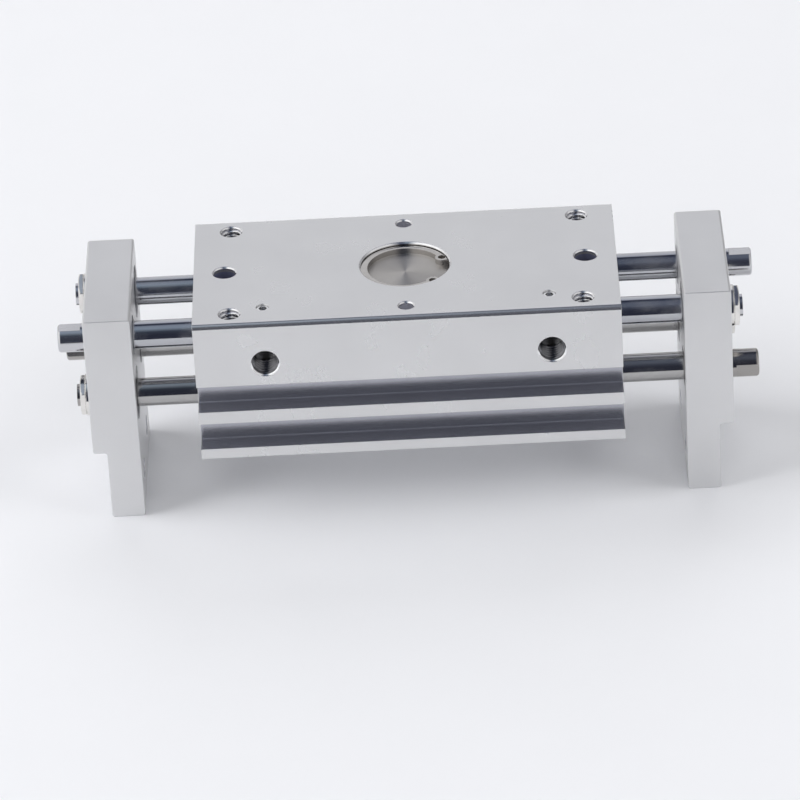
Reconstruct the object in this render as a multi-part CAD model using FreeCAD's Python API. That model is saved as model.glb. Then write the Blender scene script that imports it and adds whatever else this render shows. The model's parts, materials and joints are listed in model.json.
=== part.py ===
import FreeCAD, Part
import math
import os

# Wide-opening parallel gripper worked by air. Two finger plates ride on four through rods.
# Each finger carries one rack rod (upper) and one piston rod (lower), and a pinion between
# the two racks keeps the fingers in step. The model shows the closed gripper.
# Millimetres. x runs along the rods, y away from the air ports, z up. The origin is on the
# ground midway between the finger tips. Turning the gripper half round z gives it back.

# Stroke and gear
travel = 30.0
gear_module = 0.5
pinion_teeth = 26
pressure_angle = math.radians(20.0)
tooth_backlash = 0.06
pinion_face = 4.4
pinion_hub_height = 0.5
pinion_hub_wall = 1.6
pinion_pin_diameter = 4.0
pinion_pin_root = 4.0
pinion_play = 0.1

# Rods
rod_diameter = 5.0
rack_line_offset = 1.4
rack_end_lead = 3
rod_spacing = 11.2
free_end_reach = 4.9
free_end_rounding = 0.5
wrench_flat_width = 4.3
wrench_flat_length = 4.0
rack_flat_turn = 0.0
piston_flat_turn = 102.0
stud_diameter = 4.0
stud_reach = 2.28

# Cylinders and pistons
bore_diameter = 10.0
bore_web = 7.6
piston_length = 12.0
piston_seal_width = 1.8
piston_seal_depth = 1.2
magnet_width = 2.6
magnet_depth = 1.0
piston_land = 2.4
chamber_spare = 5.3
rod_cover_length = 9.8
cover_ring_thickness = 0.8
cover_ring_recess = 0.6
cover_ring_grip = 0.35
cover_ring_width = 1.1
cover_ring_gap = 50.0
rod_seal_width = 1.4
rod_seal_wall = 1.3
rod_seal_lip = 0.4
cover_bush_wall = 0.8
cover_groove_width = 1.3
cover_groove_depth = 0.8

# Guide bushes of the rack rods
guide_bush_length = 12.0
guide_bush_wall = 1.0

# Housing
top_edge_radius = 0.85
bottom_edge_radius = 0.2
top_wall = 4.8
bottom_wall = 3.5
groove_wall = 1.45
groove_depth = 3.75
groove_height = 5.1
groove_pitch = 7.5
groove_drop = 0.15
groove_corner_radius = 0.25
thread_end_margin = 6.5
thread_edge_margin = 4.0
thread_diameter = 4.0
thread_depth = 8.0
through_end_margin = 5.5
through_diameter = 4.3
dowel_diameter = 3.0
dowel_depth = 4.0
port_end_margin = 12.35
port_diameter = 5.0
port_drop = 8.1
port_tip = 0.7
passage_setback = 5.8
passage_diameter = 1.6
plug_diameter = 2.2
plug_length = 2.6
plug_recess = 0.25
plug_socket_width = 1.3
plug_socket_depth = 1.2
hole_bevel = 0.1

# Pinion pocket and its cover
pocket_clearance = 0.4
pocket_shoulder = 0.8
cover_drop = 1.6
pinion_ring_thickness = 1.0
pinion_ring_width = 1.5
pinion_ring_grip = 0.5
pinion_ring_gap = 52.0
pinion_ring_turn = -12.0
pinion_pin_top = 1.4

# Fingers
finger_clearance = 11.0
finger_thickness = 8.4
finger_below_top = 0.4
finger_edge_chamfer = 0.1
finger_corner_radius = 0.5
tongue_height = 13.2
tongue_setback = 2.5
tongue_clearance = 0.2
counterbore_diameter = 9.6
counterbore_depth = 2.0
finger_side_wall = 1.4
relief_diameter = 7.2
tip_hole_spacing = 15.0
tip_hole_height = 5.4
collar_diameter = 9.0
collar_thickness = 1.6
washer_diameter = 7.4
washer_thickness = 0.7
nut_width = 7.0
nut_thickness = 0.95

# Fits, all radial
running_gap = 0.03
piston_gap = 0.05
seat_gap = 0.02
free_gap = 0.15

# Places worked out from the sizes above
rod_radius = rod_diameter / 2
bore_radius = bore_diameter / 2
pitch_radius = gear_module * pinion_teeth / 2
addendum = gear_module
dedendum = 1.25 * gear_module
tooth_pitch = math.pi * gear_module
pinion_tip_radius = pitch_radius + addendum

rack_rod_y = pitch_radius + rack_line_offset
piston_rod_y = bore_radius + bore_web / 2

body_half_depth = piston_rod_y + bore_radius + groove_wall + groove_depth
body_half_length = (travel + piston_length) / 2 + chamber_spare + rod_cover_length
body_half_length += cover_ring_thickness + cover_ring_recess
body_bottom = tongue_height + tongue_clearance
piston_rod_z = body_bottom + bottom_wall + bore_radius
rack_rod_z = piston_rod_z + rod_spacing
body_top = rack_rod_z + rod_radius + top_wall

finger_inner = body_half_length + finger_clearance
finger_outer = finger_inner + finger_thickness
finger_top = body_top - finger_below_top
finger_half_width = piston_rod_y + counterbore_diameter / 2 + finger_side_wall
free_end = finger_outer + free_end_reach
stud_end = finger_outer + stud_reach
shoulder = finger_inner + counterbore_depth - collar_thickness

chamber_end = (travel + piston_length) / 2 + chamber_spare
cover_end = chamber_end + rod_cover_length
cover_groove_middle = (chamber_end + cover_end) / 2
port_x = body_half_length - port_end_margin
port_z = body_top - port_drop
passage_y = -body_half_depth + passage_setback
piston_x = travel / 2

pocket_radius = pinion_tip_radius + pocket_clearance
recess_radius = pocket_radius + pocket_shoulder
pinion_bottom = rack_rod_z - pinion_face / 2 - pinion_hub_height
pocket_floor = pinion_bottom - pinion_play
cover_underside = rack_rod_z + pinion_face / 2 + pinion_hub_height + pinion_play
cover_top = body_top - cover_drop


def vector(x, y, z):
    return FreeCAD.Vector(x, y, z)


def block(x_low, x_high, y_low, y_high, z_low, z_high):
    return Part.makeBox(x_high - x_low, y_high - y_low, z_high - z_low, vector(x_low, y_low, z_low))


def rod_along_x(radius, x_low, x_high, y, z):
    return Part.makeCylinder(radius, x_high - x_low, vector(x_low, y, z), vector(1, 0, 0))


def post(radius, x, y, z_low, z_high):
    return Part.makeCylinder(radius, z_high - z_low, vector(x, y, z_low))


def bevelled_hole_down(radius, x, y, z_mouth, depth):
    """A drilled hole going down from a face, with its mouth broken by a small bevel."""
    hole = post(radius, x, y, z_mouth - depth, z_mouth)
    bevel = Part.makeCone(radius, radius + hole_bevel, hole_bevel, vector(x, y, z_mouth - hole_bevel))
    return hole.fuse(bevel)


def turned_along_x(profile, y, z):
    """A lathe-turned ring or plug: (x, radius) corners swept round an axis along x."""
    corners = [vector(x, radius, 0) for x, radius in profile]
    face = Part.Face(Part.makePolygon(corners + corners[:1]))
    solid = face.revolve(vector(0, 0, 0), vector(1, 0, 0), 360)
    solid.translate(vector(0, y, z))
    return solid


def tube_along_x(outer, inner, x_low, x_high, y, z):
    return turned_along_x([(x_low, inner), (x_high, inner), (x_high, outer), (x_low, outer)], y, z)


def prism(corners, direction):
    """A straight-sided solid on a closed outline of corner points."""
    return Part.Face(Part.makePolygon(corners + corners[:1])).extrude(direction)


def hexagon_along_x(width, x_low, x_high, y, z, first_corner):
    corner_radius = width / math.sqrt(3)
    corners = []
    for step in range(6):
        angle = math.radians(first_corner + 60 * step)
        corners.append(vector(x_low, y + corner_radius * math.cos(angle), z + corner_radius * math.sin(angle)))
    return prism(corners, vector(x_high - x_low, 0, 0))


def snap_ring(outer, width, thickness, gap_angle):
    """An internal spring ring lying flat at z = 0, open towards +x, with a pierced lug at each end."""
    inner = outer - width
    ring = post(outer, 0, 0, 0, thickness).cut(post(inner, 0, 0, 0, thickness))
    half_gap = math.radians(gap_angle / 2)
    reach = 2 * outer
    slot = [vector(0, 0, 0), vector(reach, -reach * math.tan(half_gap), 0),
            vector(reach, reach * math.tan(half_gap), 0)]
    ring = ring.cut(prism(slot, vector(0, 0, thickness)))
    lug_radius = 0.6 * width
    lug_centre = outer - lug_radius - 0.15 * width
    lug_angle = half_gap + math.asin(lug_radius / lug_centre)
    for side in (-1, 1):
        x = lug_centre * math.cos(lug_angle)
        y = side * lug_centre * math.sin(lug_angle)
        ring = ring.fuse(post(lug_radius, x, y, 0, thickness))
    for side in (-1, 1):
        x = lug_centre * math.cos(lug_angle)
        y = side * lug_centre * math.sin(lug_angle)
        ring = ring.cut(post(0.55 * lug_radius, x, y, 0, thickness))
    return ring.removeSplitter()


def half_turn(shape):
    turned = shape.copy()
    turned.rotate(vector(0, 0, 0), vector(0, 0, 1), 180)
    return turned


def edges_along(shape, direction):
    """The straight edges that run along a direction."""
    found = []
    for edge in shape.Edges:
        run = edge.Vertexes[-1].Point - edge.Vertexes[0].Point
        if run.Length > 1e-6 and run.cross(direction).Length < 1e-6:
            found.append(edge)
    return found


# The housing: an extruded block with two sensor grooves in its front face
def sensor_groove(z_middle):
    back = -body_half_depth + groove_depth
    groove = block(-body_half_length, body_half_length, -body_half_depth, back,
                   z_middle - groove_height / 2, z_middle + groove_height / 2)
    long_edges = edges_along(groove, vector(1, 0, 0))
    inner_edges = [edge for edge in long_edges if abs(edge.CenterOfMass.y - back) < 1e-6]
    return groove.makeFillet(groove_corner_radius, inner_edges)


def top_holes():
    """Mounting threads, through holes and dowel holes, all entered from the top face."""
    thread_x = body_half_length - thread_end_margin
    thread_y = body_half_depth - thread_edge_margin
    through_x = body_half_length - through_end_margin
    holes = []
    for side in (-1, 1):
        for face in (-1, 1):
            holes.append(bevelled_hole_down(thread_diameter / 2, side * thread_x, face * thread_y,
                                            body_top, thread_depth))
        holes.append(post(through_diameter / 2, side * through_x, 0, body_bottom, body_top))
        holes.append(bevelled_hole_down(through_diameter / 2, side * through_x, 0, body_top, hole_bevel))
        holes.append(bevelled_hole_down(dowel_diameter / 2, 0, side * thread_y, body_top, dowel_depth))
    return holes


def air_ways():
    """Two ports in the front face, and the drilled ways from them down to the front cylinder."""
    ways = []
    port_depth = passage_setback + port_tip
    for side in (-1, 1):
        mouth = vector(side * port_x, -body_half_depth, port_z)
        ways.append(Part.makeCylinder(port_diameter / 2, port_depth, mouth, vector(0, 1, 0)))
        ways.append(Part.makeCone(port_diameter / 2 + hole_bevel, port_diameter / 2, hole_bevel,
                                  mouth, vector(0, 1, 0)))
        ways.append(post(passage_diameter / 2, side * port_x, passage_y, piston_rod_z, body_top))
        ways.append(bevelled_hole_down(plug_diameter / 2 + seat_gap, side * port_x, passage_y,
                                       body_top, plug_length + plug_recess))
    return ways


def rod_bores():
    """Guide bores of the rack rods and the two cylinders, open at both ends of the block."""
    bores = []
    bush_inner_end = body_half_length - guide_bush_length
    ring_outer = body_half_length - cover_ring_recess
    for side in (-1, 1):
        rack_y = side * rack_rod_y
        piston_y = side * piston_rod_y
        bores.append(rod_along_x(rod_radius + free_gap, -body_half_length, body_half_length, rack_y, rack_rod_z))
        bores.append(rod_along_x(bore_radius, -body_half_length, body_half_length, piston_y, piston_rod_z))
        for end in (-1, 1):
            bush_span = sorted((end * bush_inner_end, end * body_half_length))
            bores.append(rod_along_x(rod_radius + running_gap + guide_bush_wall + seat_gap,
                                     bush_span[0], bush_span[1], rack_y, rack_rod_z))
            ring_span = sorted((end * (ring_outer - cover_ring_thickness), end * ring_outer))
            bores.append(rod_along_x(bore_radius + cover_ring_grip + seat_gap,
                                     ring_span[0], ring_span[1], piston_y, piston_rod_z))
    return bores


def pinion_pocket():
    ring_top = cover_top + pinion_ring_thickness
    return [post(pocket_radius, 0, 0, pocket_floor, cover_underside),
            post(recess_radius, 0, 0, cover_underside, body_top),
            post(recess_radius + pinion_ring_grip, 0, 0, cover_top, ring_top),
            post(pinion_pin_diameter / 2 + seat_gap, 0, 0, pocket_floor - pinion_pin_root, pocket_floor)]


def housing():
    body = block(-body_half_length, body_half_length, -body_half_depth, body_half_depth, body_bottom, body_top)
    for level, radius in ((body_top, top_edge_radius), (body_bottom, bottom_edge_radius)):
        edges = [edge for edge in edges_along(body, vector(1, 0, 0)) if abs(edge.CenterOfMass.z - level) < 1e-6]
        body = body.makeFillet(radius, edges)
    cuts = top_holes() + air_ways() + rod_bores() + pinion_pocket()
    for side in (-1, 1):
        cuts.append(sensor_groove(piston_rod_z - groove_drop + side * groove_pitch / 2))
    return body.cut(cuts).removeSplitter()


# The pinion and what holds it
def involute_angle(radius):
    """Angle between a tooth's middle and its flank at a radius, for the pinion."""
    half_thickness = (tooth_pitch / 2 - tooth_backlash / 2) / (2 * pitch_radius)
    at_pitch = math.tan(pressure_angle) - pressure_angle
    base_radius = pitch_radius * math.cos(pressure_angle)
    roll = math.acos(min(1.0, base_radius / radius))
    return half_thickness + at_pitch - (math.tan(roll) - roll)


def pinion():
    """A spur gear with a tooth space, not a tooth, facing each rack in the closed pose."""
    base_radius = pitch_radius * math.cos(pressure_angle)
    root_radius = pitch_radius - dedendum
    z_low = rack_rod_z - pinion_face / 2

    def at(radius, angle):
        return vector(radius * math.cos(angle), radius * math.sin(angle), z_low)

    edges = []
    step = 2 * math.pi / pinion_teeth
    middle_radius = (base_radius + pinion_tip_radius) / 2
    foot = involute_angle(base_radius)
    tip = involute_angle(pinion_tip_radius)
    waist = involute_angle(middle_radius)
    for tooth in range(pinion_teeth):
        middle = math.pi / 2 + step * (tooth + 0.5)
        rise = [at(base_radius, middle - foot), at(middle_radius, middle - waist),
                at(pinion_tip_radius, middle - tip)]
        fall = [at(pinion_tip_radius, middle + tip), at(middle_radius, middle + waist),
                at(base_radius, middle + foot)]
        root_in = at(root_radius, middle - foot)
        root_out = at(root_radius, middle + foot)
        next_root = at(root_radius, middle + step - foot)
        edges.append(Part.LineSegment(root_in, rise[0]).toShape())
        edges.append(Part.Arc(*rise).toShape())
        edges.append(Part.Arc(rise[2], at(pinion_tip_radius, middle), fall[0]).toShape())
        edges.append(Part.Arc(*fall).toShape())
        edges.append(Part.LineSegment(fall[2], root_out).toShape())
        edges.append(Part.Arc(root_out, at(root_radius, middle + step / 2), next_root).toShape())
    gear = Part.Face(Part.Wire(edges)).extrude(vector(0, 0, pinion_face))
    pin_hole_radius = pinion_pin_diameter / 2 + running_gap
    hub = post(pin_hole_radius + pinion_hub_wall, 0, 0, pinion_bottom,
               pinion_bottom + pinion_face + 2 * pinion_hub_height)
    hole = post(pin_hole_radius, 0, 0, pinion_bottom, cover_underside)
    return gear.fuse(hub).cut(hole)


def pinion_pin():
    return post(pinion_pin_diameter / 2, 0, 0, pocket_floor - pinion_pin_root, cover_underside + pinion_pin_top)


def pinion_cover():
    disc = post(recess_radius - seat_gap, 0, 0, cover_underside, cover_top)
    pin_hole = post(pinion_pin_diameter / 2 + seat_gap, 0, 0, cover_underside, cover_underside + pinion_pin_top)
    return disc.cut(pin_hole)


def pinion_cover_ring():
    outer = recess_radius + pinion_ring_grip - seat_gap
    ring = snap_ring(outer, pinion_ring_width + pinion_ring_grip, pinion_ring_thickness,
                     pinion_ring_gap)
    ring.rotate(vector(0, 0, 0), vector(0, 0, 1), pinion_ring_turn)
    ring.translate(vector(0, 0, cover_top))
    return ring


# Small pieces set in the housing
def passage_plugs():
    """Two headless screws with a hexagon socket, closing the drilled air ways at the top."""
    plugs = []
    top = body_top - plug_recess
    corner_radius = plug_socket_width / math.sqrt(3)
    for side in (-1, 1):
        screw = post(plug_diameter / 2, side * port_x, passage_y, top - plug_length, top)
        corners = []
        for step in range(6):
            angle = math.radians(60 * step)
            corners.append(vector(side * port_x + corner_radius * math.cos(angle),
                                  passage_y + corner_radius * math.sin(angle), top - plug_socket_depth))
        plugs.append(screw.cut(prism(corners, vector(0, 0, plug_socket_depth))))
    return Part.makeCompound(plugs)


def guide_bush(rack_y):
    """A plain bush at the +x end of a rack rod's bore."""
    inner = rod_radius + running_gap
    return tube_along_x(inner + guide_bush_wall, inner, body_half_length - guide_bush_length,
                        body_half_length, rack_y, rack_rod_z)


def rod_cover(piston_y):
    """The turned plug at the +x end of a cylinder, hollowed for the rod seal and a bush."""
    outer = bore_radius - seat_gap
    rod_hole = rod_radius + free_gap
    seal_radius = rod_radius + rod_seal_wall + seat_gap
    bush_radius = rod_radius + running_gap + cover_bush_wall + seat_gap
    seal_start = chamber_end + rod_seal_lip
    seal_end = seal_start + rod_seal_width
    bush_start = seal_end + rod_seal_lip
    groove_start = cover_groove_middle - cover_groove_width / 2
    groove_end = cover_groove_middle + cover_groove_width / 2
    groove_radius = outer - cover_groove_depth
    profile = [(chamber_end, rod_hole), (seal_start, rod_hole), (seal_start, seal_radius),
               (seal_end, seal_radius), (seal_end, rod_hole), (bush_start, rod_hole),
               (bush_start, bush_radius), (cover_end, bush_radius), (cover_end, outer),
               (groove_end, outer), (groove_end, groove_radius), (groove_start, groove_radius),
               (groove_start, outer), (chamber_end, outer)]
    return turned_along_x(profile, piston_y, piston_rod_z)


def rod_seal(piston_y):
    start = chamber_end + rod_seal_lip
    return tube_along_x(rod_radius + rod_seal_wall, rod_radius + running_gap, start + seat_gap,
                        start + rod_seal_width - seat_gap, piston_y, piston_rod_z)


def cover_bush(piston_y):
    inner = rod_radius + running_gap
    start = chamber_end + 2 * rod_seal_lip + rod_seal_width
    return tube_along_x(inner + cover_bush_wall, inner, start, cover_end, piston_y, piston_rod_z)


def cover_o_ring(piston_y):
    """A round-section ring in the cover's groove, held between groove and cylinder wall."""
    groove_radius = bore_radius - seat_gap - cover_groove_depth
    section_radius = (bore_radius - groove_radius) / 2 - seat_gap
    return Part.makeTorus(groove_radius + section_radius + seat_gap, section_radius,
                          vector(cover_groove_middle, piston_y, piston_rod_z), vector(1, 0, 0))


def cover_ring(piston_y):
    ring = snap_ring(bore_radius + cover_ring_grip, cover_ring_width + cover_ring_grip,
                     cover_ring_thickness, cover_ring_gap)
    ring.rotate(vector(0, 0, 0), vector(0, 1, 0), 90)
    ring.translate(vector(body_half_length - cover_ring_recess - cover_ring_thickness, piston_y, piston_rod_z))
    return ring


# The rods of the left finger: the rack rod behind and the piston rod in front
def plain_rod(y, z, flat_turn):
    """A ground rod with a threaded stud at the finger end and wrench flats at its free end.
    The flats face up and down, turned about the rod by an angle."""
    turned = [(-stud_end, 0), (-stud_end, stud_diameter / 2 - seat_gap),
              (-shoulder, stud_diameter / 2 - seat_gap), (-shoulder, rod_radius),
              (free_end, rod_radius), (free_end, 0)]
    rod = turned_along_x(turned, y, z)
    rim = [edge for edge in rod.Edges if edge.isClosed() and abs(edge.CenterOfMass.x - free_end) < 1e-6]
    rod = rod.makeFillet(free_end_rounding, rim)
    for side in (-1, 1):
        flat = block(free_end - wrench_flat_length, free_end, -rod_diameter, rod_diameter,
                     wrench_flat_width / 2, rod_diameter)
        flat.rotate(vector(0, 0, 0), vector(1, 0, 0), flat_turn + 90 + 90 * side)
        flat.translate(vector(0, y, z))
        rod = rod.cut(flat)
    return rod


def rack_cutter():
    """The gaps between the teeth of the left rack, as one comb, with a tooth at x = 0."""
    tip_y = pitch_radius - addendum
    root_y = pitch_radius + dedendum
    low_y = rack_rod_y - rod_diameter
    last_tooth = math.ceil(travel / tooth_pitch) + rack_end_lead
    slope = math.tan(pressure_angle)
    half_tooth = tooth_pitch / 4 - tooth_backlash / 4
    half_tip = half_tooth - addendum * slope
    half_root = half_tooth + dedendum * slope
    z_low = rack_rod_z - rod_diameter
    first_x = -(rack_end_lead + 0.5) * tooth_pitch
    last_x = (last_tooth + 0.5) * tooth_pitch
    corners = [vector(first_x, low_y, z_low), vector(first_x, root_y, z_low)]
    for tooth in range(-rack_end_lead, last_tooth + 1):
        middle = tooth * tooth_pitch
        corners.append(vector(middle - half_root, root_y, z_low))
        corners.append(vector(middle - half_tip, tip_y, z_low))
        corners.append(vector(middle + half_tip, tip_y, z_low))
        corners.append(vector(middle + half_root, root_y, z_low))
    corners += [vector(last_x, root_y, z_low), vector(last_x, low_y, z_low)]
    return prism(corners, vector(0, 0, 2 * rod_diameter))


def rack_rod():
    return plain_rod(rack_rod_y, rack_rod_z, rack_flat_turn).cut(rack_cutter())


def piston_rod():
    return plain_rod(-piston_rod_y, piston_rod_z, piston_flat_turn)


def piston():
    """The piston, with one groove for its seal and one for the ring magnet that sensors read."""
    outer = bore_radius - piston_gap
    inner = rod_radius + seat_gap
    start = piston_x - piston_length / 2
    end = piston_x + piston_length / 2
    seal_start = start + piston_land
    magnet_end = end - piston_land
    profile = [(start, inner), (end, inner), (end, outer), (magnet_end, outer),
               (magnet_end, outer - magnet_depth), (magnet_end - magnet_width, outer - magnet_depth),
               (magnet_end - magnet_width, outer), (seal_start + piston_seal_width, outer),
               (seal_start + piston_seal_width, outer - piston_seal_depth),
               (seal_start, outer - piston_seal_depth), (seal_start, outer), (start, outer)]
    return turned_along_x(profile, -piston_rod_y, piston_rod_z)


def piston_seal():
    start = piston_x - piston_length / 2 + piston_land
    outer = bore_radius - running_gap
    inner = bore_radius - piston_gap - piston_seal_depth + seat_gap
    return tube_along_x(outer, inner, start + seat_gap, start + piston_seal_width - seat_gap,
                        -piston_rod_y, piston_rod_z)


def piston_magnet():
    end = piston_x + piston_length / 2 - piston_land
    inner = bore_radius - piston_gap - magnet_depth + seat_gap
    return tube_along_x(bore_radius - 2 * piston_gap, inner, end - magnet_width + seat_gap, end - seat_gap,
                        -piston_rod_y, piston_rod_z)


# The left finger and its fastenings
def carried_rods():
    """Where the left finger holds its own two rods, as (y, z)."""
    return [(rack_rod_y, rack_rod_z), (-piston_rod_y, piston_rod_z)]


def passing_rods():
    """Where the other finger's rods pass through the left finger, as (y, z)."""
    return [(-rack_rod_y, rack_rod_z), (piston_rod_y, piston_rod_z)]


def finger():
    """A plate with a thinner gripping tongue below, flush with the plate's inner face."""
    outline = [(-finger_inner, 0), (-finger_inner, finger_top), (-finger_outer, finger_top),
               (-finger_outer, tongue_height), (-finger_outer + tongue_setback, tongue_height),
               (-finger_outer + tongue_setback, 0)]
    corners = [vector(x, -finger_half_width, z) for x, z in outline]
    plate = prism(corners, vector(0, 2 * finger_half_width, 0))
    plate = plate.makeFillet(finger_corner_radius, edges_along(plate, vector(0, 1, 0)))
    rims = [edge for edge in plate.Edges if abs(abs(edge.CenterOfMass.y) - finger_half_width) < 1e-6]
    plate = plate.makeChamfer(finger_edge_chamfer, rims)
    cuts = []
    for y, z in carried_rods():
        cuts.append(rod_along_x(stud_diameter / 2 + free_gap, -finger_outer, -finger_inner, y, z))
        cuts.append(rod_along_x(counterbore_diameter / 2, -finger_inner - counterbore_depth, -finger_inner, y, z))
    for y, z in passing_rods():
        cuts.append(rod_along_x(relief_diameter / 2, -finger_outer, -finger_inner, y, z))
    for side in (-1, 1):
        cuts.append(rod_along_x(thread_diameter / 2, -finger_outer, -finger_inner,
                                side * tip_hole_spacing / 2, tip_hole_height))
    return plate.cut(cuts)


def rod_collars():
    """Flat steel rings in the finger's counterbores, between finger and rod shoulder."""
    rings = []
    for y, z in carried_rods():
        rings.append(tube_along_x(collar_diameter / 2, stud_diameter / 2 + seat_gap,
                                  -shoulder - collar_thickness, -shoulder, y, z))
    return Part.makeCompound(rings)


def rod_washers():
    rings = []
    for y, z in carried_rods():
        rings.append(tube_along_x(washer_diameter / 2, stud_diameter / 2 + free_gap,
                                  -finger_outer - washer_thickness, -finger_outer, y, z))
    return Part.makeCompound(rings)


def rod_nuts():
    """Thin hexagon nuts, their outer corners turned off, on the rods' threaded studs."""
    nuts = []
    outer_face = -finger_outer - washer_thickness - nut_thickness
    inner_face = -finger_outer - washer_thickness
    corner_radius = nut_width / math.sqrt(3)
    for y, z in carried_rods():
        nut = hexagon_along_x(nut_width, outer_face, inner_face, y, z, 90)
        turned_off = corner_radius - nut_width / 2
        blank = turned_along_x([(outer_face, 0), (outer_face, nut_width / 2),
                                (outer_face + turned_off / 2, corner_radius), (inner_face, corner_radius),
                                (inner_face, 0)], y, z)
        hole = rod_along_x(stud_diameter / 2 + seat_gap, outer_face, inner_face, y, z)
        nuts.append(nut.common(blank).cut(hole))
    return Part.makeCompound(nuts)


def collect_pieces():
    """All pieces by name. What exists twice is made once and turned half round z."""
    pieces = {"housing": housing(), "pinion": pinion(), "pinion_pin": pinion_pin(),
              "pinion_cover": pinion_cover(), "pinion_cover_ring": pinion_cover_ring(),
              "passage_plugs": passage_plugs()}
    for face, face_name in ((1, "back"), (-1, "front")):
        end_pieces = {"guide_bush": (guide_bush, rack_rod_y), "rod_cover": (rod_cover, piston_rod_y),
                      "rod_seal": (rod_seal, piston_rod_y), "rod_cover_bush": (cover_bush, piston_rod_y),
                      "rod_cover_o_ring": (cover_o_ring, piston_rod_y),
                      "rod_cover_ring": (cover_ring, piston_rod_y)}
        other_face_name = "front" if face_name == "back" else "back"
        for name, (make, distance) in end_pieces.items():
            right = make(face * distance)
            pieces[f"right_{face_name}_{name}"] = right
            pieces[f"left_{other_face_name}_{name}"] = half_turn(right)
    finger_pieces = {"finger": finger, "rack_rod": rack_rod, "piston_rod": piston_rod, "piston": piston,
                     "piston_seal": piston_seal, "piston_magnet": piston_magnet, "rod_collars": rod_collars,
                     "rod_washers": rod_washers, "rod_nuts": rod_nuts}
    for name, make in finger_pieces.items():
        left = make()
        pieces[f"left_{name}"] = left
        pieces[f"right_{name}"] = half_turn(left)
    return pieces


os.makedirs("parts", exist_ok=True)
for node, shape in collect_pieces().items():
    shape.exportStep(f"parts/{node}.step")
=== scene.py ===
import bpy
import json
import math
from mathutils import Matrix, Vector


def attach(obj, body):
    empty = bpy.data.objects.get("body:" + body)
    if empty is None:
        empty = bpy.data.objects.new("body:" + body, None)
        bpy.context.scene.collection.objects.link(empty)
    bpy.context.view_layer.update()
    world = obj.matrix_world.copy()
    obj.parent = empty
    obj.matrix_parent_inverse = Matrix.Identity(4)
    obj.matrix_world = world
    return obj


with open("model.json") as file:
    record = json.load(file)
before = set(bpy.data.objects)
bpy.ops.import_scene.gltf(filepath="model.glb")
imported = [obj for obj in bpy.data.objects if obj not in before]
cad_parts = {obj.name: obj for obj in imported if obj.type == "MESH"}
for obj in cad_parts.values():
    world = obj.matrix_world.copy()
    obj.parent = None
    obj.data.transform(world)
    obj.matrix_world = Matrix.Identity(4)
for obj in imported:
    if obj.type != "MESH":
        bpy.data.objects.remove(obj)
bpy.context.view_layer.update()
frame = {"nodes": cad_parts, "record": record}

# Looks of a wide-opening parallel gripper: satin anodised aluminium, mirror-ground rods, bright nuts.
# Metres, in the frame of the CAD model: x along the rods, y away from the air ports, z up.

MM = 0.001
SIDES = ((-1, "left"), (1, "right"))
FACES = ((-1, "front"), (1, "back"))
DOWN = (0, 0, -1)
BACKWARD = (0, 1, 0)

# Places on the part that the added pieces sit on
BODY_TOP = 40.4 * MM
BODY_FRONT = -19.0 * MM
MOUNT_THREAD_X = 31.0 * MM
MOUNT_THREAD_Y = 15.0 * MM
PORT_X = 25.15 * MM
PORT_Z = 32.3 * MM
FINGER_INNER = 48.5 * MM
TONGUE_THICKNESS = 5.9 * MM
TIP_HOLE_Y = 7.5 * MM
TIP_HOLE_Z = 5.4 * MM
THROUGH_X = 32.0 * MM
THROUGH_RADIUS = 2.15 * MM
DOWEL_Y = 15.0 * MM
DOWEL_RADIUS = 1.5 * MM
RECESS_RADIUS = 8.2 * MM

# Threads: radius of the plain hole and pitch. The ridge is a metric one, flat at its crest and its root,
# and rises to its full height over the lead-in. These four sizes of the ridge are in pitches.
M4 = (2.0 * MM, 0.7 * MM)
M5 = (2.5 * MM, 0.8 * MM)
RIDGE_HEIGHT = 0.541
CREST_FLAT = 0.25
ROOT_FLAT = 0.125
LEAD_IN = 0.5
MOUNT_THREAD_LENGTH = 7.2 * MM
PORT_THREAD_LENGTH = 4.3 * MM
FINGER_THREAD_INSET = 0.05 * MM

# Linings of the holes, which stay just clear of the solid's wall
LINING_GAP = 0.01 * MM
SLEEVE_WALL = 0.02 * MM
SLEEVE_COLUMNS = 48
ROWS_PER_TURN = 16
CONE_COLUMNS = 64
SHARP_ANGLE = math.radians(40)

# Countersunk mouths: the bevel that the solids have, and how far the polished cone reaches inside the hole
HOLE_BEVEL = 0.1 * MM
CONE_REACH = 0.2 * MM
CONE_LIP = 0.15 * MM
THREAD_START = HOLE_BEVEL + CONE_REACH + CONE_LIP

# Finishes: roughness of the body's own regions, painted shade in its bores and grooves and painted light
# in its dowel holes, and the length of rod that is ground
ANODISED_METALLIC = 0.92
DRILLED_ROUGHNESS = 0.40
TURNED_ROUGHNESS = 0.15
DRAWN_ROUGHNESS = 0.24
EDGE_ROUGHNESS = 0.09
# Painted shade: the through bores are darker and bluer, for the shade deep inside them
THROUGH_BORE_PAINTED_SHADE = (0.53, 0.55, 0.72)
# Painted light: the dowel holes' walls are lighter, for light that falls into them from the front and
# above
DOWEL_HOLE_PAINTED_LIGHT = (0.92, 0.92, 0.97)
# Painted shade: the sensor grooves are darker and bluer, for the shade under their lips
GROOVE_PAINTED_SHADE = (0.49, 0.495, 0.54)
GROUND_REACH = 57.0 * MM
ROD_END_ROUGHNESS = 0.15
CREST_LAYER = "crest"

# Sheet of paper under the part
PALE_FLOOR = (0.86, 0.868, 0.90)
PAPER_FRONT = -146 * MM
PAPER_REACH = 4.0

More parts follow.
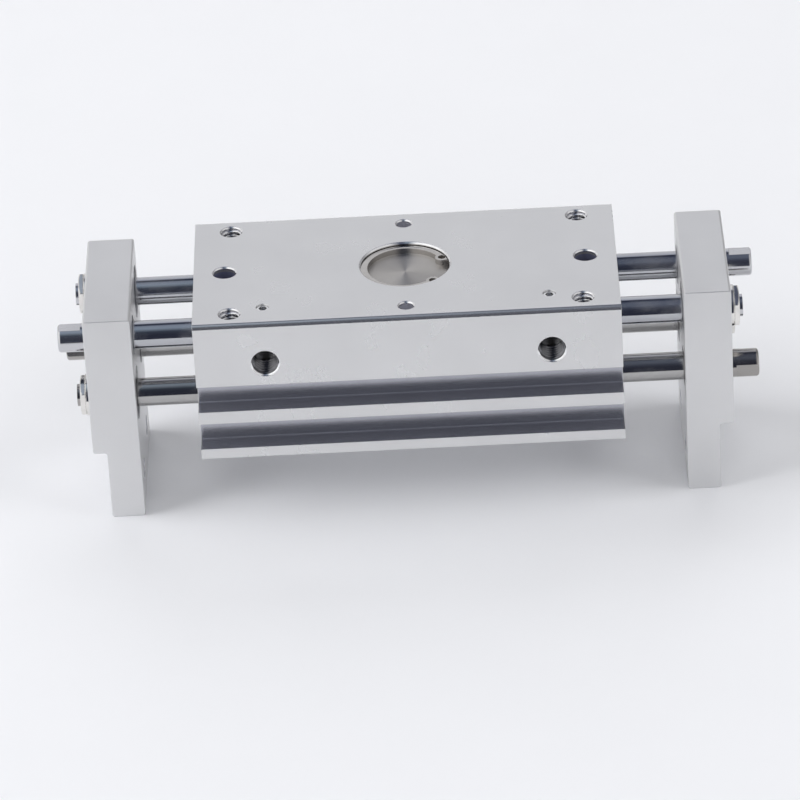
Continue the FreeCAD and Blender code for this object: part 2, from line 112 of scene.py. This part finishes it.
# Colours of the room that polished metal mirrors
FRONT_DARK = (0.038, 0.043, 0.067)
LOW_CEILING_LEFT = (0.058, 0.072, 0.10)
CEILING_LEFT = (0.37, 0.44, 0.53)
HIGH_CEILING_LEFT = (0.34, 0.385, 0.47)
LOW_CEILING_RIGHT = (0.055, 0.061, 0.093)
CEILING_RIGHT = (0.112, 0.128, 0.18)
HIGH_CEILING_RIGHT = (0.085, 0.096, 0.145)
GAP_DARK = (0.037, 0.045, 0.076)
LOW_BACK = (0.68, 0.70, 0.785)
BACK_PALE = (0.78, 0.785, 0.805)
LEFT_SIDE = (1.12, 1.12, 1.13)
RIGHT_SIDE = (0.70, 0.70, 0.71)
LEFT_BACK_SIDE = (0.75, 0.75, 0.76)
RIGHT_BACK_SIDE = (0.32, 0.32, 0.33)

# Light of the room on dull surfaces, and what the camera sees past the paper
EVEN_LIGHT = (0.06, 0.06, 0.061)
BACKDROP = (0.905, 0.912, 0.94)

# Where the room's colours lie, as shares of the way from the front over the top to the back
LEFT_ROOM = [(0.12, FRONT_DARK), (0.26, LOW_CEILING_LEFT),
             (0.41, CEILING_LEFT), (0.53, HIGH_CEILING_LEFT)]
RIGHT_ROOM = [(0.12, FRONT_DARK), (0.21, LOW_CEILING_RIGHT),
              (0.34, CEILING_RIGHT), (0.53, HIGH_CEILING_RIGHT)]
BEHIND = [(0.60, GAP_DARK), (0.655, GAP_DARK), (0.725, LOW_BACK), (0.85, BACK_PALE)]

# Soft lamps: place and brightness
LAMP_SIZE = 2.0
LAMP_AIM = (0, 0, 0.02)
LAMPS = {
    "key_left": ((-2.0, 0.0, 1.5), 2.7),
    "low_left": ((-2.3, -0.4, 0.8), 2.45),
    "low_right": ((2.3, -0.4, 0.8), 3.35),
    "front": ((0.0, -2.0, 1.5), 1.65),
    "back": ((0.0, 2.0, 1.5), 1.9),
}

# Camera, at the photo's viewing angle
CAMERA_AZIMUTH = math.radians(-0.8401)
CAMERA_ELEVATION = math.radians(30.30)
CAMERA_ROLL = math.radians(-3.2324)
CAMERA_DISTANCE = 1014.082 * MM
CAMERA_AIM = Vector((-2.211, 0.0, 12.499)) * MM
CAMERA_LENS = 253.977
SENSOR_WIDTH = 36.0
NEAREST_SEEN = 0.05


# Node helpers
def new_material(name, metallic):
    """An empty procedural material and its Principled shader."""
    made = bpy.data.materials.new(name)
    made.use_nodes = True
    shader = made.node_tree.nodes["Principled BSDF"]
    shader.inputs["Metallic"].default_value = metallic
    return made, shader


def object_coordinates(tree, scale):
    """Place on the part in metres, stretched by a scale per axis."""
    place = tree.nodes.new("ShaderNodeTexCoord")
    mapping = tree.nodes.new("ShaderNodeMapping")
    mapping.inputs["Scale"].default_value = scale
    tree.links.new(place.outputs["Object"], mapping.inputs["Vector"])
    return mapping.outputs["Vector"]


def noise(tree, scale, detail=3.0):
    """Random clouds, with a number of them per metre for each axis."""
    texture = tree.nodes.new("ShaderNodeTexNoise")
    texture.inputs["Scale"].default_value = 1.0
    texture.inputs["Detail"].default_value = detail
    texture.inputs["Roughness"].default_value = 0.55
    tree.links.new(object_coordinates(tree, scale), texture.inputs["Vector"])
    return texture.outputs["Fac"]


def spread(tree, value, low, high, from_low=0.3, from_high=0.7):
    """Maps a texture value to a range of numbers."""
    node = tree.nodes.new("ShaderNodeMapRange")
    node.inputs["From Min"].default_value = from_low
    node.inputs["From Max"].default_value = from_high
    node.inputs["To Min"].default_value = low
    node.inputs["To Max"].default_value = high
    tree.links.new(value, node.inputs["Value"])
    return node.outputs["Result"]


def rise(tree, value, start, end):
    """A share that is 0 up to the start, 1 from the end on, and rises evenly between them."""
    return spread(tree, value, 0.0, 1.0, start, end)


def uneven_gloss(tree, texture, rough):
    """Roughness that wanders a little round its middle value."""
    return spread(tree, texture, 0.8 * rough, 1.25 * rough)


def colours(tree, value, stops):
    """Maps a texture value to colours, given as (place, (r, g, b)) stops."""
    node = tree.nodes.new("ShaderNodeValToRGB")
    elements = node.color_ramp.elements
    while len(elements) < len(stops):
        elements.new(0.5)
    for element, (place, colour) in zip(elements, stops):
        element.position = place
        element.color = (*colour, 1.0)
    tree.links.new(value, node.inputs["Fac"])
    return node.outputs["Color"]


def mottled(tree, texture, tone, darkest):
    """A tone that a texture darkens in places, down to a share of it."""
    dark = tuple(darkest * c for c in tone)
    return colours(tree, texture, [(0.3, dark), (0.7, tone)])


def eased_edges(tree, radius):
    """Normals that round every sharp edge by a small radius, as a broken edge does."""
    bevel = tree.nodes.new("ShaderNodeBevel")
    bevel.samples = 6
    bevel.inputs["Radius"].default_value = radius
    return bevel.outputs["Normal"]


def bump(tree, height, strength, distance, under=None):
    """Normals of a fine relief, on top of other normals if they are given."""
    node = tree.nodes.new("ShaderNodeBump")
    node.inputs["Strength"].default_value = strength
    node.inputs["Distance"].default_value = distance
    tree.links.new(height, node.inputs["Height"])
    if under is not None:
        tree.links.new(under, node.inputs["Normal"])
    return node.outputs["Normal"]


def calculated(tree, operation, first, second=None):
    """A number worked out from a socket and, where there is one, a second socket or number."""
    node = tree.nodes.new("ShaderNodeMath")
    node.operation = operation
    tree.links.new(first, node.inputs[0])
    if isinstance(second, bpy.types.NodeSocket):
        tree.links.new(second, node.inputs[1])
    elif second is not None:
        node.inputs[1].default_value = second
    return node.outputs["Value"]


def calculated_vector(tree, operation, vector, second=None):
    """A vector worked out from a socket and, where there is one, a fixed second vector."""
    node = tree.nodes.new("ShaderNodeVectorMath")
    node.operation = operation
    tree.links.new(vector, node.inputs[0])
    if second is not None:
        node.inputs[1].default_value = second
    return node.outputs["Vector"]


def separated(tree, vector):
    """The node whose outputs are a vector's X, Y and Z."""
    axes = tree.nodes.new("ShaderNodeSeparateXYZ")
    tree.links.new(vector, axes.inputs["Vector"])
    return axes


def inside_box(tree, centre, half_size):
    """1 inside a box around a centre and 0 outside, for finishes that belong to one region."""
    place = tree.nodes.new("ShaderNodeTexCoord")
    offset = calculated_vector(tree, "SUBTRACT", place.outputs["Object"], centre)
    share = calculated_vector(tree, "DIVIDE", offset, half_size)
    axes = separated(tree, calculated_vector(tree, "ABSOLUTE", share))
    largest = axes.outputs["X"]
    for axis in ("Y", "Z"):
        largest = calculated(tree, "MAXIMUM", largest, axes.outputs[axis])
    return calculated(tree, "LESS_THAN", largest, 1.0)


def mix_node(tree, kind, share, first):
    """A node that goes from the first socket's value to a second one as the share goes from 0 to 1."""
    node = tree.nodes.new("ShaderNodeMix")
    node.data_type = kind
    tree.links.new(share, node.inputs["Factor"])
    tree.links.new(first, node.inputs["A"])
    return node


def blend(tree, share, first, second):
    """Goes from the first socket's number to a fixed second number."""
    node = mix_node(tree, "FLOAT", share, first)
    node.inputs["B"].default_value = second
    return node.outputs["Result"]


def tinted(tree, share, first, colour):
    """Goes from the first socket's colour to a fixed second colour."""
    node = mix_node(tree, "RGBA", share, first)
    node.inputs["B"].default_value = (*colour, 1.0)
    return node.outputs["Result"]


def mixed_colours(tree, share, first, second):
    """Goes from the first socket's colour to the second socket's colour."""
    node = mix_node(tree, "RGBA", share, first)
    tree.links.new(second, node.inputs["B"])
    return node.outputs["Result"]


# Regions of the body with a finish of their own
def region(centre, half_size):
    """A box, as its centre and half its size, both given in millimetres."""
    return tuple(c * MM for c in centre), tuple(h * MM for h in half_size)


TOP_HOLES = region((0, 0, 34.7), (37.4, 18.1, 5.65))
PINION_RECESS = region((0, 0, 36.0), (10.0, 10.0, 4.35))
SENSOR_GROOVES = region((0, -17.0, 21.75), (37.45, 1.99, 6.4))
TOP_EDGES = [region((0, face * 18.6, 40.0), (38.0, 0.45, 0.45)) for face, _ in FACES]
THROUGH_BORES = [region((side * 32.0, 0, 26.0), (2.5, 2.5, 13.4)) for side, _ in SIDES]
DOWEL_HOLES = [region((0, face * 15.0, 38.3), (1.7, 1.7, 2.05)) for face, _ in FACES]

BODY_SMOOTH = [(TOP_HOLES, DRILLED_ROUGHNESS), (PINION_RECESS, TURNED_ROUGHNESS)]
BODY_SMOOTH += [(SENSOR_GROOVES, DRAWN_ROUGHNESS)]
BODY_SMOOTH += [(edge, EDGE_ROUGHNESS) for edge in TOP_EDGES]
# Painted shade in the through bores and sensor grooves, painted light in the dowel holes
BODY_PAINTED_SHADE_AND_LIGHT = [(bore, THROUGH_BORE_PAINTED_SHADE) for bore in THROUGH_BORES]
BODY_PAINTED_SHADE_AND_LIGHT += [(SENSOR_GROOVES, GROOVE_PAINTED_SHADE)]
BODY_PAINTED_SHADE_AND_LIGHT += [(hole, DOWEL_HOLE_PAINTED_LIGHT) for hole in DOWEL_HOLES]


# Materials, one function each
def satin_aluminium(name, tone, rough, edge, smooth_regions=(), shade_and_light_regions=()):
    """Clear anodised aluminium: a fine blasted grain, faint clouds in the tone, broken edges.
    Walls inside a smooth region, given with its roughness, were cut or drawn and not blasted. Walls inside
    a painted region take its tone: a darker one as painted shade, a lighter one as painted light."""
    made, shader = new_material(name, ANODISED_METALLIC)
    tree = made.node_tree
    clouds = noise(tree, (70, 70, 70), detail=2.0)
    paint = mottled(tree, clouds, tone, darkest=0.965)
    # Painted shade and painted light: inside each region its tone replaces the body's own
    for box, painted_tone in shade_and_light_regions:
        paint = tinted(tree, inside_box(tree, *box), paint, painted_tone)
    tree.links.new(paint, shader.inputs["Base Color"])
    smudges = noise(tree, (140, 90, 90), detail=4.0)
    gloss = spread(tree, smudges, rough - 0.03, rough + 0.03)
    for box, own_rough in smooth_regions:
        gloss = blend(tree, inside_box(tree, *box), gloss, own_rough)
    tree.links.new(gloss, shader.inputs["Roughness"])
    grain = noise(tree, (9000, 9000, 9000), detail=2.0)
    drawn = noise(tree, (30, 5000, 5000), detail=2.0)
    rounded = eased_edges(tree, edge)
    lines = bump(tree, drawn, strength=0.05, distance=0.004 * MM, under=rounded)
    relief = bump(tree, grain, strength=0.06, distance=0.006 * MM, under=lines)
    tree.links.new(relief, shader.inputs["Normal"])
    return made


def ground_steel(name, tone, end_tone):
    """Hard-chromed ground rod: mirror bands, with fine grinding lines round it, faint smears and a film of
    hazy oil in places. The rod is ground only between the fingers, so its ends are duller."""
    made, shader = new_material(name, 1.0)
    tree = made.node_tree
    smears = noise(tree, (90, 240, 240), detail=4.0)
    ground = inside_box(tree, (0, 0, 0), (GROUND_REACH, 1.0, 1.0))
    dull = spread(tree, ground, 1.0, 0.0, 0.0, 1.0)
    paint = tinted(tree, dull, mottled(tree, smears, tone, darkest=0.86), end_tone)
    tree.links.new(paint, shader.inputs["Base Color"])
    film = noise(tree, (150, 260, 260), detail=5.0)
    tree.links.new(spread(tree, film, 1.0, 0.82, 0.5, 0.72), shader.inputs["Metallic"])
    gloss = spread(tree, smears, 0.07, 0.13)
    tree.links.new(blend(tree, dull, gloss, ROD_END_ROUGHNESS), shader.inputs["Roughness"])
    lines = noise(tree, (7000, 60, 60), detail=2.0)
    rounded = eased_edges(tree, 0.12 * MM)
    relief = bump(tree, lines, strength=0.06, distance=0.002 * MM, under=rounded)
    tree.links.new(relief, shader.inputs["Normal"])
    return made


def bright_metal(name, tone, rough, edge):
    """Plated or machined small metal pieces: fine turning marks and uneven gloss."""
    made, shader = new_material(name, 1.0)
    tree = made.node_tree
    uneven = noise(tree, (500, 500, 500), detail=3.0)
    tree.links.new(mottled(tree, uneven, tone, darkest=0.86), shader.inputs["Base Color"])
    tree.links.new(uneven_gloss(tree, uneven, rough), shader.inputs["Roughness"])
    marks = noise(tree, (3500, 3500, 3500), detail=2.0)
    rounded = eased_edges(tree, edge)
    relief = bump(tree, marks, strength=0.08, distance=0.004 * MM, under=rounded)
    tree.links.new(relief, shader.inputs["Normal"])
    return made


def thread_metal(name, root_painted_shade, crest_tone, rough):
    """A cut thread: bright along its crests, and darker down in its roots as painted shade between the
    flanks.
    """
    made, shader = new_material(name, 1.0)
    tree = made.node_tree
    crest = tree.nodes.new("ShaderNodeAttribute")
    crest.attribute_name = CREST_LAYER
    # Painted shade: the colour goes from the root's dark tone up to the crest's bright one
    paint = colours(tree, crest.outputs["Fac"], [(0.15, root_painted_shade), (0.75, crest_tone)])
    tree.links.new(paint, shader.inputs["Base Color"])
    uneven = noise(tree, (900, 900, 900), detail=3.0)
    tree.links.new(uneven_gloss(tree, uneven, rough), shader.inputs["Roughness"])
    return made


def turned_face(name, tone):
    """Face-turned disc: fine rings round the z axis, whose glints spread like a fan."""
    made, shader = new_material(name, 1.0)
    tree = made.node_tree
    rings = tree.nodes.new("ShaderNodeTexWave")
    rings.wave_type = "RINGS"
    rings.rings_direction = "Z"
    rings.inputs["Scale"].default_value = 1400.0
    rings.inputs["Distortion"].default_value = 0.6
    rings.inputs["Detail"].default_value = 2.0
    tree.links.new(object_coordinates(tree, (1, 1, 1)), rings.inputs["Vector"])
    patches = noise(tree, (260, 260, 260), detail=3.0)
    tree.links.new(mottled(tree, patches, tone, darkest=0.9), shader.inputs["Base Color"])
    tree.links.new(spread(tree, patches, 0.36, 0.42), shader.inputs["Roughness"])
    tangent = tree.nodes.new("ShaderNodeTangent")
    tangent.direction_type = "RADIAL"
    tangent.axis = "Z"
    shader.inputs["Anisotropic"].default_value = 0.95
    shader.inputs["Anisotropic Rotation"].default_value = 0.25
    tree.links.new(tangent.outputs["Tangent"], shader.inputs["Tangent"])
    relief = bump(tree, rings.outputs["Fac"], strength=0.12, distance=0.003 * MM)
    tree.links.new(relief, shader.inputs["Normal"])
    return made


def matte_soft(name, tone, rough):
    """Rubber and bonded magnet: dark, dry and slightly mottled."""
    made, shader = new_material(name, 0.0)
    tree = made.node_tree
    mottle = noise(tree, (1500, 1500, 1500), detail=4.0)
    tree.links.new(mottled(tree, mottle, tone, darkest=0.7), shader.inputs["Base Color"])
    tree.links.new(spread(tree, mottle, rough - 0.08, rough + 0.08), shader.inputs["Roughness"])
    relief = bump(tree, mottle, strength=0.2, distance=0.01 * MM)
    tree.links.new(relief, shader.inputs["Normal"])
    return made


# Finishes by material slot: tone, roughness and how far the edges are broken
finishes = {
    "body_aluminium": satin_aluminium("body_aluminium", (0.715, 0.715, 0.72), 0.29, 0.10 * MM,
                                      BODY_SMOOTH, BODY_PAINTED_SHADE_AND_LIGHT),
    "finger_aluminium": satin_aluminium("finger_aluminium", (0.745, 0.745, 0.75), 0.42, 0.10 * MM),
    "ground_steel": ground_steel("ground_steel", (0.55, 0.56, 0.59), (0.60, 0.60, 0.62)),
    "gear_steel": bright_metal("gear_steel", (0.50, 0.50, 0.52), 0.28, 0.05 * MM),
    "turned_steel": turned_face("turned_steel", (0.56, 0.54, 0.52)),
    "spring_steel": bright_metal("spring_steel", (0.58, 0.56, 0.54), 0.10, 0.10 * MM),
    "screw_steel": bright_metal("screw_steel", (0.86, 0.86, 0.87), 0.14, 0.06 * MM),
    "nut_steel": bright_metal("nut_steel", (0.86, 0.84, 0.81), 0.07, 0.30 * MM),
    "cover_aluminium": satin_aluminium("cover_aluminium", (0.66, 0.67, 0.68), 0.34, 0.08 * MM),
    "bush_bronze": bright_metal("bush_bronze", (0.60, 0.44, 0.25), 0.35, 0.05 * MM),
    "seal_rubber": matte_soft("seal_rubber", (0.030, 0.030, 0.032), 0.65),
    "magnet": matte_soft("magnet", (0.16, 0.16, 0.17), 0.5),
}

# Finishes of the pieces that differ from their slot
cut_edge = bright_metal("cut_edge", (0.95, 0.95, 0.96), 0.07, 0.02 * MM)
cut_thread = thread_metal("cut_thread", (0.60, 0.60, 0.64), (0.95, 0.95, 0.96), 0.10)
# Painted shade: the port threads are near black, for the shade deep inside the ports
port_thread_painted_shade = thread_metal("port_thread_painted_shade", (0.02, 0.02, 0.022), (0.20, 0.20, 0.21), 0.20)
# The piston rods get a darker, warmer copy of the rod steel: partly their own tone, partly painted shade,
# as these lower rods mirror the floor in the part's shadow
piston_rod_tone_and_shade = ground_steel("piston_rod_tone_and_shade", (0.46, 0.455, 0.45), (0.39, 0.375, 0.36))

for subpart in frame["record"]["subparts"]:
    node = frame["nodes"][subpart["node"]]
    finish = finishes[subpart["material_slot"]]
    if subpart["node"].endswith("piston_rod"):
        finish = piston_rod_tone_and_shade
    node.data.materials.clear()
    node.data.materials.append(finish)


# Threads and countersinks of the holes, as thin pieces that line them
def round_point(reach, turn, depth):
    """A point at a reach from the hole's axis, a share of a turn round it, and a depth below its mouth."""
    angle = 2 * math.pi * turn
    return (reach * math.cos(angle), reach * math.sin(angle), -depth)


def closed_skin(name, points, columns):
    """A mesh of points that lie in rings, each ring joined to the next one and the last to the first."""
    faces = []
    for here in range(0, len(points), columns):
        below = (here + columns) % len(points)
        for column in range(columns):
            after = (column + 1) % columns
            faces.append((here + column, below + column, below + after, here + after))
    mesh = bpy.data.meshes.new(name)
    mesh.from_pydata(points, [], faces)
    return mesh


def line_hole(name, mesh, mouth, inward, finish, body):
    """Puts a lining, made along -z from the origin, into its hole, and lets it ride on the body."""
    turn = Vector(inward).to_track_quat("-Z", "Y").to_matrix().to_4x4()
    mesh.transform(Matrix.Translation(mouth) @ turn)
    mesh.polygons.foreach_set("use_smooth", [True] * len(mesh.polygons))
    mesh.set_sharp_from_angle(angle=SHARP_ANGLE)
    mesh.materials.append(finish)
    lining = bpy.data.objects.new(name, mesh)
    bpy.context.scene.collection.objects.link(lining)
    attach(lining, body)


def ridge_share(pitches_deep, turn):
    """How high the thread's ridge stands at a place in the hole: 0 at the root and 1 at the crest."""
    phase = (pitches_deep - turn) % 1.0
    from_root = 0.5 - abs(phase - 0.5) - ROOT_FLAT / 2
    flank = (1 - CREST_FLAT - ROOT_FLAT) / 2
    lead_in = min(1.0, pitches_deep / LEAD_IN)
    return lead_in * min(1.0, max(0.0, from_root / flank))


def thread_sleeve(name, thread, length, mouth, inward, body, finish):
    """A tapped hole's wall: a helical ridge on a thin tube, from its mouth along the inward direction."""
    radius, pitch = thread
    outer = radius - LINING_GAP
    turns = [column / SLEEVE_COLUMNS for column in range(SLEEVE_COLUMNS)]
    rows = math.ceil(length / pitch * ROWS_PER_TURN)
    points = []
    crests = []
    for row in range(rows + 1):
        depth = length * row / rows
        for turn in turns:
            share = ridge_share(depth / pitch, turn)
            reach = outer - SLEEVE_WALL - RIDGE_HEIGHT * pitch * share
            points.append(round_point(reach, turn, depth))
            crests.append(share)
    for depth in (length, 0.0):
        for turn in turns:
            points.append(round_point(outer, turn, depth))
            crests.append(0.0)
    mesh = closed_skin(name, points, SLEEVE_COLUMNS)
    layer = mesh.attributes.new(CREST_LAYER, "FLOAT", "POINT")
    layer.data.foreach_set("value", crests)
    line_hole(name, mesh, mouth, inward, finish, body)


def countersink(name, radius, mouth, inward):
    """A polished cone that lines the mouth of a hole in the body, turned from (radius, depth) points."""
    inner = radius - CONE_REACH
    wall = radius - LINING_GAP
    cone_foot = HOLE_BEVEL + CONE_REACH
    lip_foot = cone_foot + CONE_LIP
    profile = ((wall + HOLE_BEVEL, 0.0), (inner, cone_foot), (inner, lip_foot), (wall, lip_foot),
               (wall, HOLE_BEVEL))
    points = []
    for reach, depth in profile:
        for column in range(CONE_COLUMNS):
            points.append(round_point(reach, column / CONE_COLUMNS, depth))
    mesh = closed_skin(name, points, CONE_COLUMNS)
    line_hole(name, mesh, mouth, inward, cut_edge, "body")


def tapped_hole(kind, place_name, thread, length, mouth, inward, finish):
    """A tapped hole of the body: its countersunk mouth, and the thread that starts below it."""
    countersink(f"{kind}_cone_{place_name}", thread[0], mouth, inward)
    start = mouth + THREAD_START * Vector(inward)
    thread_sleeve(f"{kind}_thread_{place_name}", thread, length, start, inward,
                  "body", finish)


def finger_thread(side, side_name, face, face_name):
    """The thread of a hole that goes right through a finger's tongue."""
    length = TONGUE_THICKNESS - 2 * FINGER_THREAD_INSET
    mouth = (side * (FINGER_INNER + FINGER_THREAD_INSET), face * TIP_HOLE_Y, TIP_HOLE_Z)
    thread_sleeve(f"{side_name}_finger_thread_{face_name}", M4, length, mouth, (side, 0, 0),
                  f"{side_name}_finger", cut_thread)


for side, side_name in SIDES:
    for face, face_name in FACES:
        mouth = Vector((side * MOUNT_THREAD_X, face * MOUNT_THREAD_Y, BODY_TOP))
        tapped_hole("mount", f"{side_name}_{face_name}", M4, MOUNT_THREAD_LENGTH, mouth, DOWN, cut_thread)
        finger_thread(side, side_name, face, face_name)
    mouth = Vector((side * PORT_X, BODY_FRONT, PORT_Z))
    tapped_hole("port", side_name, M5, PORT_THREAD_LENGTH, mouth, BACKWARD, port_thread_painted_shade)
    countersink(f"through_cone_{side_name}", THROUGH_RADIUS, (side * THROUGH_X, 0, BODY_TOP), DOWN)
countersink("recess_cone", RECESS_RADIUS - HOLE_BEVEL, (0, 0, BODY_TOP), DOWN)
for face, face_name in FACES:
    countersink(f"dowel_cone_{face_name}", DOWEL_RADIUS, (0, face * DOWEL_Y, BODY_TOP), DOWN)


# Floor
def make_floor():
    """A sheet of pale paper that ends a little way in front of the part, where the dark room begins."""
    mesh = bpy.data.meshes.new("floor")
    corners = [(-PAPER_REACH, PAPER_FRONT, 0), (PAPER_REACH, PAPER_FRONT, 0),
               (PAPER_REACH, PAPER_REACH, 0), (-PAPER_REACH, PAPER_REACH, 0)]
    mesh.from_pydata(corners, [], [(0, 1, 2, 3)])
    paper, shader = new_material("floor_paper", 0.0)
    tree = paper.node_tree
    fibres = noise(tree, (40, 40, 40), detail=4.0)
    tree.links.new(mottled(tree, fibres, PALE_FLOOR, darkest=0.99), shader.inputs["Base Color"])
    shader.inputs["Roughness"].default_value = 0.9
    shader.inputs["Specular IOR Level"].default_value = 0.1
    mesh.materials.append(paper)
    floor = bpy.data.objects.new("floor", mesh)
    bpy.context.scene.collection.objects.link(floor)


make_floor()


# Studio: a room that the polished metal mirrors, and soft lamps
def room_colours(tree, axes):
    """Dark in front, a dim ceiling that is brighter on the left, a dark gap, and a pale backdrop."""
    forward = calculated(tree, "MULTIPLY", axes.outputs["Y"], -1.0)
    angle = calculated(tree, "ARCTAN2", axes.outputs["Z"], forward)
    over_top = rise(tree, angle, 0.0, math.pi)
    left_room = colours(tree, over_top, LEFT_ROOM + BEHIND)
    right_room = colours(tree, over_top, RIGHT_ROOM + BEHIND)
    to_right = rise(tree, axes.outputs["X"], -0.06, 0.04)
    return mixed_colours(tree, to_right, left_room, right_room)


def side_colours(tree, axes):
    """Bright sides, the left one brighter, that get dimmer towards the back."""
    left_to_right = rise(tree, axes.outputs["X"], -1.0, 1.0)
    front_sides = colours(tree, left_to_right, [(0.45, LEFT_SIDE), (0.55, RIGHT_SIDE)])
    back_sides = colours(tree, left_to_right, [(0.45, LEFT_BACK_SIDE), (0.55, RIGHT_BACK_SIDE)])
    to_back = rise(tree, axes.outputs["Y"], 0.1, 0.5)
    return mixed_colours(tree, to_back, front_sides, back_sides)


def make_world():
    """What metal mirrors in each direction. Dull surfaces get the same light from everywhere, and the
    camera sees a plain backdrop."""
    world = bpy.data.worlds.new("studio")
    world.use_nodes = True
    tree = world.node_tree
    background = tree.nodes["Background"]
    place = tree.nodes.new("ShaderNodeTexCoord")
    axes = separated(tree, place.outputs["Generated"])
    sideways = calculated(tree, "ABSOLUTE", axes.outputs["X"])
    to_side = rise(tree, sideways, 0.14, 0.42)
    mirrored = mixed_colours(tree, to_side, room_colours(tree, axes), side_colours(tree, axes))
    path = tree.nodes.new("ShaderNodeLightPath")
    lighting = tinted(tree, path.outputs["Is Diffuse Ray"], mirrored, EVEN_LIGHT)
    seen = tinted(tree, path.outputs["Is Camera Ray"], lighting, BACKDROP)
    tree.links.new(seen, background.inputs["Color"])
    bpy.context.scene.world = world


def soft_lamp(name, place, radiance):
    """A square soft box, its power worked out from the brightness of its face. The metal mirrors the room
    without it."""
    data = bpy.data.lights.new(name, "AREA")
    data.size = LAMP_SIZE
    data.energy = radiance * math.pi * LAMP_SIZE * LAMP_SIZE
    lamp = bpy.data.objects.new(name, data)
    direction = Vector(LAMP_AIM) - Vector(place)
    turn = direction.to_track_quat("-Z", "Y").to_matrix().to_4x4()
    lamp.matrix_world = Matrix.Translation(place) @ turn
    lamp.visible_glossy = False
    bpy.context.scene.collection.objects.link(lamp)


make_world()
for lamp_name, (lamp_place, lamp_radiance) in LAMPS.items():
    soft_lamp(lamp_name, lamp_place, lamp_radiance)


# Camera
def make_camera():
    """Looks at the aim from the photo's direction and distance, rolled as the photo is."""
    level_share = math.cos(CAMERA_ELEVATION)
    forward = Vector((math.sin(CAMERA_AZIMUTH) * level_share, math.cos(CAMERA_AZIMUTH) * level_share,
                      -math.sin(CAMERA_ELEVATION)))
    level = Vector((math.cos(CAMERA_AZIMUTH), -math.sin(CAMERA_AZIMUTH), 0))
    above = level.cross(forward)
    right = level * math.cos(CAMERA_ROLL) + above * math.sin(CAMERA_ROLL)
    up = above * math.cos(CAMERA_ROLL) - level * math.sin(CAMERA_ROLL)
    place = CAMERA_AIM - CAMERA_DISTANCE * forward
    data = bpy.data.cameras.new("camera")
    data.lens = CAMERA_LENS
    data.sensor_width = SENSOR_WIDTH
    data.clip_start = NEAREST_SEEN
    camera = bpy.data.objects.new("camera", data)
    turn = Matrix((right, up, -forward)).transposed().to_4x4()
    camera.matrix_world = Matrix.Translation(place) @ turn
    bpy.context.scene.collection.objects.link(camera)
    bpy.context.scene.camera = camera


make_camera()
bpy.context.scene.view_settings.view_transform = "Standard"
